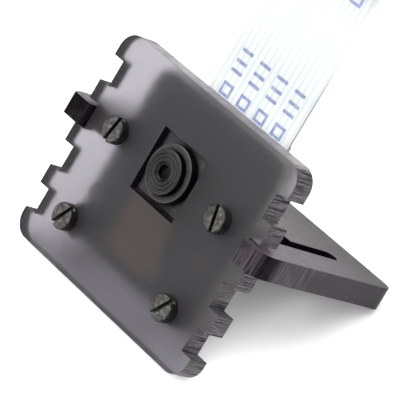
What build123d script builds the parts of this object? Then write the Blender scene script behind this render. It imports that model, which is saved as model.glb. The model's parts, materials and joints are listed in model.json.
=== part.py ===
from build123d import *
from math import atan2, degrees
import os

# A notched acrylic stand that props up a small camera board.
#
# Every piece is drawn in the camera plate's own frame: X across the plate, Y back from its
# front face, Z up the plate, origin where the lens axis meets the front face. The last step
# leans the whole object back onto its two feet. In the finished frame +Z is up, +Y is to the
# rear, and the origin is the middle of the edge that the plate stands on.

# Acrylic sheet and camera plate
SHEET = 3.0
PLATE_WIDTH = 35.0
PLATE_TOP = 10.7
PLATE_BOTTOM = -18.5
PLATE_CORNER = 2.5
NOTCH_COUNT = 4
NOTCH_DEPTH = 1.85
NOTCH_HEIGHT = 3.55
NOTCH_PITCH = 6.2
TOP_NOTCH = 5.1
WINDOW = 8.7
WINDOW_DROP = 0.15

# Stand leg, in the second pair of notches from the top
LEG_NOTCH = 1
LEG_WIDTH = 38.4
LEG_REACH = 24.9
ARM_SPREAD = 0.5
ARM_SPREAD_END = 5.0
PRONG_PROUD = 1.25
PRONG_TIP_WIDTH = 38.0
PRONG_TAPER_END = 0.6
PRONG_TIP_ROUND = 0.4
PRONG_SIDE_ROUND = 1.2
LEG_REAR_ROUND = 1.8
SEAT_GAP = 0.02
FORK_GAP = 28.7
TONGUE_WIDTH = 24.6
TONGUE_FRONT = 11.1
ARM_SLOT_END = 18.9

# Nylon screws and nuts, M2
HOLE_SPACING_X = 21.0
HOLE_SPACING_Z = 12.5
HOLE_DROP = 0.2
CLEARANCE_RADIUS = 1.1
HEAD_RADIUS = 1.75
HEAD_HEIGHT = 1.2
HEAD_ROUND = 0.25
SCREW_SLOT_WIDTH = 0.55
SCREW_SLOT_DEPTH = 0.65
SCREW_LENGTH = 8.0
THREAD_PITCH = 0.4
THREAD_CREST = 0.98
THREAD_ROOT = 0.76
NUT_BORE = 1.0
NUT_ACROSS_FLATS = 4.0
NUT_THICKNESS = 1.6
NUT_CHAMFER = 0.3
UPPER_LEFT_SLOT = 79.0
LOWER_LEFT_SLOT = 60.0
UPPER_RIGHT_SLOT = 106.0
LOWER_RIGHT_SLOT = 57.5
NUT_TURN_STEP = 17.0

# Camera board
BOARD_WIDTH = 25.0
BOARD_HEIGHT = 24.0
BOARD_BOTTOM = -14.7
BOARD_THICKNESS = 1.0
BOARD_CORNER = 2.0
BOARD_FRONT = SHEET + NUT_THICKNESS
BOARD_BACK = BOARD_FRONT + BOARD_THICKNESS

# Camera module: foam, flexible circuit, sensor, filter and housing
FOAM_SIZE = 8.0
FOAM_THICKNESS = 0.5
MODULE_SIZE = 8.3
MODULE_BASE = 3.8
MODULE_CORNER = 0.4
HOUSING_FRONT = 1.0
COLLAR_FRONT = -0.3
COLLAR_RADIUS = 3.65
COLLAR_CHAMFER = 0.12
CAVITY_SIZE = 7.2
CAVITY_CEILING = 2.45
FILTER_SIZE = 6.2
FILTER_THICKNESS = 0.3
SENSOR_WIDTH = 6.0
SENSOR_HEIGHT = 5.2
SENSOR_THICKNESS = 0.5
FLEX_THICKNESS = 0.15
FLEX_WIDTH = 8.4
FLEX_OFFSET = -1.0
FLEX_END = -12.9
FLEX_BEND_TOP = -4.9
FLEX_BEND_FOOT = -7.6
FLEX_FRONT = 3.5
FLEX_ROOT = -4.0

# Lens barrel and the lenses inside it
BARREL_RADIUS = 2.8
BARREL_CLEARANCE = 0.05
BARREL_FRONT = -1.2
BARREL_BACK = 2.2
BARREL_CHAMFER = 0.15
BARREL_BORE = 2.3
DISH_RADIUS = 1.25
DISH_DEPTH = 0.2
APERTURE_RADIUS = 0.85
LENS_SEAT = -0.55
LENS_RADIUS = 2.25
FRONT_LENS_THICKNESS = 0.9
FRONT_LENS_CURVE = 4.0
STOP_OPENING = 0.9
STOP_THICKNESS = 0.15
REAR_LENS_THICKNESS = 0.8
REAR_LENS_CURVE = 6.0
RETAINER_OPENING = 1.5
RETAINER_THICKNESS = 0.45

# Connector between the flexible circuit and the board
PLUG_CENTRE = -11.0
PLUG_FRONT = FLEX_FRONT + FLEX_THICKNESS
PLUG_BACK = 4.0
PLUG_WIDTH = 8.0
PLUG_HEIGHT = 2.4
NOSE_WIDTH = 7.2
NOSE_HEIGHT = 1.2
NOSE_BACK = 4.38
FLEX_SOCKET_WIDTH = 8.4
FLEX_SOCKET_HEIGHT = 2.8
FLEX_SOCKET_WALL = 0.6
FLEX_SOCKET_FLOOR = 4.42

# Ribbon connector on the back of the board, and its sliding latch
PIN_COUNT = 15
PIN_PITCH = 1.0
SOCKET_WIDTH = 21.0
SOCKET_HEIGHT = 2.7
SOCKET_REAR = 3.6
SOCKET_MOUTH = 8.2
SOCKET_FLOOR = BOARD_BACK + 0.7
SOCKET_ROOF = BOARD_BACK + 2.35
SOCKET_INNER_END = 4.4
MOUTH_WIDTH = 16.2
LATCH_WIDTH = 22.8
LATCH_GAP = 0.02
LATCH_BAR = 1.2
LATCH_LIFT = 0.15
LATCH_SLOT_FRONT = BOARD_BACK + 1.3
LATCH_SLOT_BACK = BOARD_BACK + 1.95
LUG_END = 5.6
LUG_FRONT = BOARD_BACK + 0.7
LUG_BACK = BOARD_BACK + 2.0
TONGUE_LEAF_WIDTH = 15.8
TONGUE_LEAF_END = 5.2
TONGUE_LEAF_FRONT = BOARD_BACK + 1.97
TONGUE_LEAF_BACK = BOARD_BACK + 2.3
CONTACT_WIDTH = 0.3
CONTACT_SLOT = 0.36
CONTACT_FOOT = 2.9
CONTACT_RISER = 3.2
CONTACT_HEEL = 3.5
CONTACT_FOOT_THICKNESS = 0.15
BEAM_FRONT = BOARD_BACK + 0.8
BEAM_BACK = BOARD_BACK + 1.05
BEAM_SLOT_MARGIN = 0.05
BEAM_BEND = 6.9
BEAM_TIP_START = 7.2
BEAM_TIP_END = 7.35
BEAM_END = 7.65

# Ribbon cable
RIBBON_WIDTH = 16.0
RIBBON_THICKNESS = 0.2
RIBBON_DEPTH = BOARD_BACK + 1.6
RIBBON_START = 4.6
RIBBON_BEND = 16.0
RIBBON_BEND_GAP = 0.2
RIBBON_END = 50.0
STRIP_WIDTH = 0.7
STRIP_THICKNESS = 0.05
STRIP_INSET = 0.1
STRIP_LENGTH = 3.8
STIFFENER_THICKNESS = 0.15
ROOT_STIFFENER_END = 10.2
END_STIFFENER_LENGTH = 6.0

# Small components on the board
REGULATOR_WIDTH = 2.9
REGULATOR_LENGTH = 1.6
REGULATOR_HEIGHT = 1.1
REGULATOR_LIFT = 0.1
LEAD_WIDTH = 0.4
LEAD_REACH = 0.6
LEAD_THICKNESS = 0.15
LEAD_PITCH = 0.95
REGULATOR_ROW = -3.6
REGULATOR_PITCH = 4.6
OSCILLATOR_WIDTH = 2.5
OSCILLATOR_LENGTH = 2.0
OSCILLATOR_HEIGHT = 0.8
OSCILLATOR_X = 5.0
OSCILLATOR_Z = -9.0
CHIP_LENGTH = 1.0
CHIP_WIDTH = 0.5
CHIP_PITCH = 1.9
CAPACITOR_COUNT = 7
CAPACITOR_HEIGHT = 0.5
CAPACITOR_ROW = 0.9
RESISTOR_COUNT = 5
RESISTOR_HEIGHT = 0.35
RESISTOR_ROW = -11.8
LED_WIDTH = 1.0
LED_LENGTH = 0.6
LED_HEIGHT = 0.4
LED_X = 9.2
LED_Z = -6.5

# Places worked out from the dimensions above
NOTCH_CENTRES = [TOP_NOTCH - NOTCH_PITCH * i for i in range(NOTCH_COUNT)]
LEG_HEIGHT = NOTCH_CENTRES[LEG_NOTCH]
LEG_FOOT = LEG_HEIGHT - SHEET / 2
SHOULDER = SHEET + SEAT_GAP
LEAN = degrees(atan2(LEG_FOOT - PLATE_BOTTOM, LEG_REACH - SHEET))
STANDING = Rot(X=-LEAN) * Pos(0, -SHEET, -PLATE_BOTTOM)
RIGHT = HOLE_SPACING_X / 2
SCREWS = [
    (-RIGHT, -HOLE_DROP, UPPER_LEFT_SLOT),
    (-RIGHT, -HOLE_DROP - HOLE_SPACING_Z, LOWER_LEFT_SLOT),
    (RIGHT, -HOLE_DROP, UPPER_RIGHT_SLOT),
    (RIGHT, -HOLE_DROP - HOLE_SPACING_Z, LOWER_RIGHT_SLOT),
]
PIN_PLACES = [PIN_PITCH * (i - (PIN_COUNT - 1) / 2) for i in range(PIN_COUNT)]
RIBBON_FRONT = RIBBON_DEPTH - RIBBON_THICKNESS / 2
RIBBON_BACK = RIBBON_DEPTH + RIBBON_THICKNESS / 2
STRIP_FRONT = RIBBON_FRONT - STRIP_THICKNESS


def slab(face, front, back):
    """A face drawn in X and Z, made solid from depth front to depth back."""
    return extrude(Plane.XZ.offset(-front) * face, amount=front - back)


def rod(radius, front, back):
    """A round bar along the lens direction."""
    return slab(Circle(radius), front, back)


def block(x, y, z):
    """A box given by its low and high value on each axis."""
    ranges = (x, y, z)
    centre = [(low + high) / 2 for low, high in ranges]
    size = [high - low for low, high in ranges]
    return Pos(*centre) * Box(*size)


def about(centre, size):
    """The range of a given size about a centre."""
    return (centre - size / 2, centre + size / 2)


def lathe(points):
    """A solid of revolution about the lens direction, from (radius, depth) points."""
    return revolve(make_face(Polyline(*points, close=True)), Axis.Y)


def group(parts):
    """Separate solids of one kind, kept together as one node."""
    return Compound([solid for part in parts for solid in part.solids()])


def at_holes(face):
    """The same face at all four screw places."""
    return [Pos(x, z) * face for x, z, _ in SCREWS]


# Acrylic


def camera_plate():
    height = PLATE_TOP - PLATE_BOTTOM
    sheet = RectangleRounded(PLATE_WIDTH, height, PLATE_CORNER)
    outline = Pos(0, PLATE_BOTTOM + height / 2) * sheet
    notch = Rectangle(2 * NOTCH_DEPTH, NOTCH_HEIGHT)
    for edge in (-PLATE_WIDTH / 2, PLATE_WIDTH / 2):
        outline -= [Pos(edge, z) * notch for z in NOTCH_CENTRES]
    outline -= Pos(0, -WINDOW_DROP) * Rectangle(WINDOW, WINDOW)
    outline -= at_holes(Circle(CLEARANCE_RADIUS))
    return slab(outline, 0, SHEET)


def stand_leg():
    """Two sprung arms with prongs, spread by the plate and joined at the rear by a tongue."""
    spread = LEG_WIDTH / 2 + ARM_SPREAD
    right = [
        (PRONG_TIP_WIDTH / 2, -PRONG_PROUD),
        (spread, PRONG_TAPER_END),
        (spread, ARM_SPREAD_END),
        (LEG_WIDTH / 2, ARM_SLOT_END),
        (LEG_WIDTH / 2, LEG_REACH),
    ]
    left = [(-x, y) for x, y in reversed(right)]
    outline = make_face(Polyline(*right, *left, close=True))
    outline = fillet(outline.vertices().group_by(Axis.Y)[-1], LEG_REAR_ROUND)
    outline = fillet(outline.vertices().group_by(Axis.Y)[1], PRONG_SIDE_ROUND)
    throat = PLATE_WIDTH - 2 * NOTCH_DEPTH + 2 * SEAT_GAP
    outline -= Pos(0, (SHOULDER - PRONG_PROUD) / 2) * Rectangle(throat, SHOULDER + PRONG_PROUD)
    outline = fillet(outline.vertices().group_by(Axis.Y)[0], PRONG_TIP_ROUND)
    outline -= Pos(0, TONGUE_FRONT / 2) * Rectangle(FORK_GAP, TONGUE_FRONT)
    slot_width = (FORK_GAP - TONGUE_WIDTH) / 2
    slot_length = ARM_SLOT_END - TONGUE_FRONT + slot_width
    slot = Rot(Z=90) * SlotOverall(slot_length, slot_width)
    slot_x = (FORK_GAP + TONGUE_WIDTH) / 4
    outline -= [Pos(side * slot_x, ARM_SLOT_END - slot_length / 2) * slot for side in (-1, 1)]
    return Pos(0, 0, LEG_FOOT) * extrude(outline, amount=SHEET)


# Fasteners


def screw(slot_angle):
    """Slotted cheese-head screw, head in front of the plate, with ring grooves for its thread."""
    points = [(0, 0), (THREAD_CREST, 0)]
    for turn in range(int(SCREW_LENGTH / THREAD_PITCH)):
        depth = turn * THREAD_PITCH
        points.append((THREAD_ROOT, depth + THREAD_PITCH / 2))
        points.append((THREAD_CREST, depth + THREAD_PITCH))
    points[-1] = (THREAD_ROOT, SCREW_LENGTH)
    points.append((0, SCREW_LENGTH))
    head = rod(HEAD_RADIUS, -HEAD_HEIGHT, 0)
    head = fillet(head.edges().group_by(Axis.Y)[0], HEAD_ROUND)
    slot_depths = (-HEAD_HEIGHT, SCREW_SLOT_DEPTH - HEAD_HEIGHT)
    head -= block(about(0, 2 * HEAD_RADIUS), slot_depths, about(0, SCREW_SLOT_WIDTH))
    return Rot(Y=-slot_angle) * (lathe(points) + head)


def camera_screws():
    return group([Pos(x, 0, z) * screw(slot_angle) for x, z, slot_angle in SCREWS])


def nuts(front):
    """A hexagon nut on each screw, each stopped at its own angle."""
    back = front + NUT_THICKNESS
    hexagon = RegularPolygon(NUT_ACROSS_FLATS / 2, 6, major_radius=False)
    corner = hexagon.vertices()[0].center().length
    rounded = rod(corner, front, back)
    rounded = chamfer(rounded.edges().filter_by(GeomType.CIRCLE), NUT_CHAMFER)
    nut = (slab(hexagon, front, back) & rounded) - rod(NUT_BORE, front, back)
    places = enumerate(SCREWS)
    return group([Pos(x, 0, z) * Rot(Y=NUT_TURN_STEP * i) * nut for i, (x, z, _) in places])


# Camera board and module


def camera_board():
    outline = RectangleRounded(BOARD_WIDTH, BOARD_HEIGHT, BOARD_CORNER)
    outline = Pos(0, BOARD_BOTTOM + BOARD_HEIGHT / 2) * outline
    outline -= at_holes(Circle(CLEARANCE_RADIUS))
    return slab(outline, BOARD_FRONT, BOARD_BACK)


def foam_pad():
    side = about(0, FOAM_SIZE)
    return block(side, (BOARD_FRONT - FOAM_THICKNESS, BOARD_FRONT), side)


def sensor_flex():
    """Stiffened pad under the module, and the tail that steps down onto the plug."""
    pad_back = BOARD_FRONT - FOAM_THICKNESS
    side = about(0, MODULE_SIZE)
    pad = block(side, (MODULE_BASE, pad_back), side)
    tail_back = FLEX_FRONT + FLEX_THICKNESS
    tail_outline = Polyline(
        (pad_back, FLEX_ROOT),
        (pad_back, FLEX_BEND_TOP),
        (tail_back, FLEX_BEND_FOOT),
        (tail_back, FLEX_END),
        (FLEX_FRONT, FLEX_END),
        (FLEX_FRONT, FLEX_BEND_FOOT),
        (pad_back - FLEX_THICKNESS, FLEX_BEND_TOP),
        (pad_back - FLEX_THICKNESS, FLEX_ROOT),
        close=True,
    )
    tail = extrude(Plane.YZ * make_face(tail_outline), amount=FLEX_WIDTH / 2, both=True)
    return pad + Pos(FLEX_OFFSET, 0, 0) * tail


def image_sensor():
    depths = (MODULE_BASE - SENSOR_THICKNESS, MODULE_BASE)
    return block(about(0, SENSOR_WIDTH), depths, about(0, SENSOR_HEIGHT))


def ir_filter():
    side = about(0, FILTER_SIZE)
    return block(side, (CAVITY_CEILING, CAVITY_CEILING + FILTER_THICKNESS), side)


def lens_housing():
    """Square box with a round collar, bored through for the barrel."""
    square = RectangleRounded(MODULE_SIZE, MODULE_SIZE, MODULE_CORNER)
    collar = rod(COLLAR_RADIUS, COLLAR_FRONT, HOUSING_FRONT)
    collar = chamfer(collar.edges().group_by(Axis.Y)[0], COLLAR_CHAMFER)
    side = about(0, CAVITY_SIZE)
    housing = slab(square, HOUSING_FRONT, MODULE_BASE) + collar
    housing -= block(side, (CAVITY_CEILING, MODULE_BASE), side)
    return housing - rod(BARREL_RADIUS + BARREL_CLEARANCE, COLLAR_FRONT, CAVITY_CEILING)


def lens_barrel():
    """Screw-in barrel with a shallow dish around its aperture."""
    dish_floor = BARREL_FRONT + DISH_DEPTH
    return lathe(
        [
            (DISH_RADIUS, BARREL_FRONT),
            (BARREL_RADIUS - BARREL_CHAMFER, BARREL_FRONT),
            (BARREL_RADIUS, BARREL_FRONT + BARREL_CHAMFER),
            (BARREL_RADIUS, BARREL_BACK),
            (BARREL_BORE, BARREL_BACK),
            (BARREL_BORE, LENS_SEAT),
            (APERTURE_RADIUS, LENS_SEAT),
            (APERTURE_RADIUS, dish_floor),
        ]
    )


def front_lens():
    back = LENS_SEAT + FRONT_LENS_THICKNESS
    dome = Pos(0, LENS_SEAT + FRONT_LENS_CURVE, 0) * Sphere(FRONT_LENS_CURVE)
    return rod(LENS_RADIUS, LENS_SEAT, back) & dome


def stop_ring():
    front = LENS_SEAT + FRONT_LENS_THICKNESS
    back = front + STOP_THICKNESS
    return rod(LENS_RADIUS, front, back) - rod(STOP_OPENING, front, back)


def rear_lens():
    front = LENS_SEAT + FRONT_LENS_THICKNESS + STOP_THICKNESS
    back = front + REAR_LENS_THICKNESS
    dome = Pos(0, back - REAR_LENS_CURVE, 0) * Sphere(REAR_LENS_CURVE)
    return rod(LENS_RADIUS, front, back) & dome


def retainer_ring():
    front = LENS_SEAT + FRONT_LENS_THICKNESS + STOP_THICKNESS + REAR_LENS_THICKNESS
    back = front + RETAINER_THICKNESS
    return rod(LENS_RADIUS, front, back) - rod(RETAINER_OPENING, front, back)


def flex_plug():
    cap = block(
        about(FLEX_OFFSET, PLUG_WIDTH), (PLUG_FRONT, PLUG_BACK), about(PLUG_CENTRE, PLUG_HEIGHT)
    )
    nose = block(
        about(FLEX_OFFSET, NOSE_WIDTH), (PLUG_BACK, NOSE_BACK), about(PLUG_CENTRE, NOSE_HEIGHT)
    )
    return cap + nose


def flex_socket():
    body = block(
        about(FLEX_OFFSET, FLEX_SOCKET_WIDTH),
        (PLUG_BACK, BOARD_FRONT),
        about(PLUG_CENTRE, FLEX_SOCKET_HEIGHT),
    )
    return body - block(
        about(FLEX_OFFSET, FLEX_SOCKET_WIDTH - FLEX_SOCKET_WALL),
        (PLUG_BACK, FLEX_SOCKET_FLOOR),
        about(PLUG_CENTRE, FLEX_SOCKET_HEIGHT - 2 * FLEX_SOCKET_WALL),
    )


# Ribbon connector


def ribbon_socket():
    """Connector body, open at the plate's top edge, with a slot for each contact."""
    depths = (BOARD_BACK, BOARD_BACK + SOCKET_HEIGHT)
    body = block(about(0, SOCKET_WIDTH), depths, (SOCKET_REAR, SOCKET_MOUTH))
    body -= block(
        about(0, MOUTH_WIDTH), (SOCKET_FLOOR, SOCKET_ROOF), (SOCKET_INNER_END, SOCKET_MOUTH)
    )
    beam_room = (BEAM_FRONT - BEAM_SLOT_MARGIN, BEAM_BACK + BEAM_SLOT_MARGIN)
    for x in PIN_PLACES:
        body -= block(about(x, CONTACT_SLOT), beam_room, (SOCKET_REAR, SOCKET_INNER_END))
    return body


def socket_contacts():
    """Spring contacts: a foot on the board, a riser, and a beam that touches the cable."""
    outline = Polyline(
        (BOARD_BACK, CONTACT_FOOT),
        (BOARD_BACK + CONTACT_FOOT_THICKNESS, CONTACT_FOOT),
        (BOARD_BACK + CONTACT_FOOT_THICKNESS, CONTACT_RISER),
        (BEAM_BACK, CONTACT_RISER),
        (BEAM_BACK, BEAM_BEND),
        (STRIP_FRONT, BEAM_TIP_START),
        (STRIP_FRONT, BEAM_TIP_END),
        (BEAM_BACK, BEAM_END),
        (BEAM_FRONT, BEAM_END),
        (BEAM_FRONT, CONTACT_HEEL),
        (BOARD_BACK, CONTACT_HEEL),
        close=True,
    )
    contact = extrude(Plane.YZ * make_face(outline), amount=CONTACT_WIDTH / 2, both=True)
    return group([Pos(x, 0, 0) * contact for x in PIN_PLACES])


def ribbon_latch():
    """Sliding bar around the cable, with a side lug at each end and a leaf over the cable."""
    inner_end = SOCKET_MOUTH + LATCH_GAP
    outer_end = SOCKET_MOUTH + LATCH_BAR
    depths = (BOARD_BACK + LATCH_LIFT, BOARD_BACK + SOCKET_HEIGHT)
    latch = block(about(0, LATCH_WIDTH), depths, (inner_end, outer_end))
    latch -= block(
        about(0, MOUTH_WIDTH), (LATCH_SLOT_FRONT, LATCH_SLOT_BACK), (inner_end, outer_end)
    )
    leaf_depths = (TONGUE_LEAF_FRONT, TONGUE_LEAF_BACK)
    latch += block(about(0, TONGUE_LEAF_WIDTH), leaf_depths, (TONGUE_LEAF_END, inner_end))
    lug_width = (LATCH_WIDTH - SOCKET_WIDTH) / 2 - LATCH_GAP
    lug_x = (LATCH_WIDTH - lug_width) / 2
    for side in (-1, 1):
        latch += block(about(side * lug_x, lug_width), (LUG_FRONT, LUG_BACK), (LUG_END, inner_end))
    return latch


# Ribbon cable


def strips(start, end):
    """The cable's bare conductors, on its front side."""
    depths = (STRIP_FRONT, RIBBON_FRONT)
    return group([block(about(x, STRIP_WIDTH), depths, (start, end)) for x in PIN_PLACES])


def film(start, end):
    """Stiffening film on the cable's back side."""
    depths = (RIBBON_BACK, RIBBON_BACK + STIFFENER_THICKNESS)
    return block(about(0, RIBBON_WIDTH), depths, (start, end))


def ribbon(start, end):
    return block(about(0, RIBBON_WIDTH), (RIBBON_FRONT, RIBBON_BACK), (start, end))


# Small components on the board


def regulators():
    """Small regulators: a moulded body with five bent leads."""
    front = BOARD_BACK + REGULATOR_LIFT
    depths = (front, BOARD_BACK + REGULATOR_HEIGHT)
    body = block(about(0, REGULATOR_WIDTH), depths, about(0, REGULATOR_LENGTH))
    lead_depths = (BOARD_BACK, front + LEAD_THICKNESS)
    reach = REGULATOR_LENGTH / 2 + LEAD_REACH
    for column in (-1, 0, 1):
        x = about(column * LEAD_PITCH, LEAD_WIDTH)
        body += block(x, lead_depths, (-reach, 0))
    for column in (-1, 1):
        x = about(column * LEAD_PITCH, LEAD_WIDTH)
        body += block(x, lead_depths, (0, reach))
    columns = (-1, 0, 1)
    return group([Pos(column * REGULATOR_PITCH, 0, REGULATOR_ROW) * body for column in columns])


def oscillator():
    depths = (BOARD_BACK, BOARD_BACK + OSCILLATOR_HEIGHT)
    length = about(OSCILLATOR_Z, OSCILLATOR_LENGTH)
    return block(about(OSCILLATOR_X, OSCILLATOR_WIDTH), depths, length)


def chip_row(count, row, height):
    """A row of chip capacitors or resistors on the back of the board."""
    depths = (BOARD_BACK, BOARD_BACK + height)
    places = [CHIP_PITCH * (i - (count - 1) / 2) for i in range(count)]
    return group([block(about(x, CHIP_WIDTH), depths, about(row, CHIP_LENGTH)) for x in places])


def status_led():
    depths = (BOARD_FRONT - LED_HEIGHT, BOARD_FRONT)
    return block(about(LED_X, LED_WIDTH), depths, about(LED_Z, LED_LENGTH))


def build():
    """Every node by name, in the plate's frame."""
    root_end = RIBBON_BEND - RIBBON_BEND_GAP
    free_start = RIBBON_BEND + RIBBON_BEND_GAP
    root_strip = RIBBON_START + STRIP_INSET
    end_strip = RIBBON_END - STRIP_INSET
    return {
        "camera_plate": camera_plate(),
        "stand_leg": stand_leg(),
        "camera_screws": camera_screws(),
        "spacer_nuts": nuts(SHEET),
        "back_nuts": nuts(BOARD_BACK),
        "camera_board": camera_board(),
        "foam_pad": foam_pad(),
        "sensor_flex": sensor_flex(),
        "image_sensor": image_sensor(),
        "ir_filter": ir_filter(),
        "lens_housing": lens_housing(),
        "lens_barrel": lens_barrel(),
        "front_lens": front_lens(),
        "stop_ring": stop_ring(),
        "rear_lens": rear_lens(),
        "retainer_ring": retainer_ring(),
        "flex_plug": flex_plug(),
        "flex_socket": flex_socket(),
        "ribbon_socket": ribbon_socket(),
        "socket_contacts": socket_contacts(),
        "ribbon_latch": ribbon_latch(),
        "ribbon_root": ribbon(RIBBON_START, root_end),
        "root_contacts": strips(root_strip, root_strip + STRIP_LENGTH),
        "root_stiffener": film(RIBBON_START, ROOT_STIFFENER_END),
        "ribbon_free": ribbon(free_start, RIBBON_END),
        "end_contacts": strips(end_strip - STRIP_LENGTH, end_strip),
        "end_stiffener": film(RIBBON_END - END_STIFFENER_LENGTH, RIBBON_END),
        "regulators": regulators(),
        "oscillator": oscillator(),
        "capacitors": chip_row(CAPACITOR_COUNT, CAPACITOR_ROW, CAPACITOR_HEIGHT),
        "resistors": chip_row(RESISTOR_COUNT, RESISTOR_ROW, RESISTOR_HEIGHT),
        "status_led": status_led(),
    }


os.makedirs("parts", exist_ok=True)
for name, piece in build().items():
    export_step(STANDING * piece, f"parts/{name}.step")
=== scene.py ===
import json
import math

import bmesh
import bpy
from mathutils import Matrix, Quaternion, Vector


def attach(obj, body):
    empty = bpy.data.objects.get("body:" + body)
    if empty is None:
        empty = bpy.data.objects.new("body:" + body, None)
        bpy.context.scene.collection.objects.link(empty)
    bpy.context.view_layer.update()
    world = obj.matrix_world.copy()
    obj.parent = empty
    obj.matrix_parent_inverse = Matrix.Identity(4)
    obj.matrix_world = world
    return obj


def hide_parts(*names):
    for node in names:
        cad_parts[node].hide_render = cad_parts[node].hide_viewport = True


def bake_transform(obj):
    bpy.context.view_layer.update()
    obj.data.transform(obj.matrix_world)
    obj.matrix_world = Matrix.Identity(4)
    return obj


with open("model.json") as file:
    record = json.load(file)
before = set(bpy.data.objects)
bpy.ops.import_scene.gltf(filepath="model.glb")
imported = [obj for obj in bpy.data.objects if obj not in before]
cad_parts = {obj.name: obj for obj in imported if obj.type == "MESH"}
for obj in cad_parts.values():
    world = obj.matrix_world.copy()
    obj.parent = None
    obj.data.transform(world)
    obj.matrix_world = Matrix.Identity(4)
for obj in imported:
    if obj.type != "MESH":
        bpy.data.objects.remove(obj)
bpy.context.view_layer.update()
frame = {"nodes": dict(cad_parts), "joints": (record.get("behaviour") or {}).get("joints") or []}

MM = 0.001

# ---------------------------------------------------------------------------
# The camera plate's own frame, taken from the joints: X across the plate, Y back from its
# front face, Z up the plate, origin where the lens axis meets the front face. Places in it
# are in millimetres.
# ---------------------------------------------------------------------------

JOINTS = {joint["name"]: joint for joint in frame["joints"]}
LENS_POINT = Vector(JOINTS["focus_turn"]["pos_m"])
RIGHT = Vector((1, 0, 0))
BACK = Vector(JOINTS["leg_slide"]["axis"]).normalized()
UP = Vector(JOINTS["latch_slide"]["axis"]).normalized()
PLATE_FRAME = Matrix.Translation(LENS_POINT) @ Matrix((RIGHT, BACK, UP)).transposed().to_4x4()
LEAN = math.atan2(BACK.z, BACK.y)
NODES = frame["nodes"]


def at(x, y, z):
    """A point in the row frame, in metres, from its place in the plate's frame."""
    return PLATE_FRAME @ (Vector((x, y, z)) * MM)


def plate_box(node):
    """A CAD node's lowest and highest corner in the plate's frame, in millimetres."""
    inverse = PLATE_FRAME.inverted()
    points = [inverse @ vertex.co / MM for vertex in NODES[node].data.vertices]
    low = Vector([min(p[i] for p in points) for i in range(3)])
    high = Vector([max(p[i] for p in points) for i in range(3)])
    return low, high


PLATE_HIGH = plate_box("camera_plate")[1]
BOARD_LOW, BOARD_HIGH = plate_box("camera_board")
ROOT_LOW, ROOT_HIGH = plate_box("ribbon_root")
LEG_REAR = plate_box("stand_leg")[1].y
RIBBON_END = plate_box("ribbon_free")[1].z


# ---------------------------------------------------------------------------
# A small kit for building node materials
# ---------------------------------------------------------------------------


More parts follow.
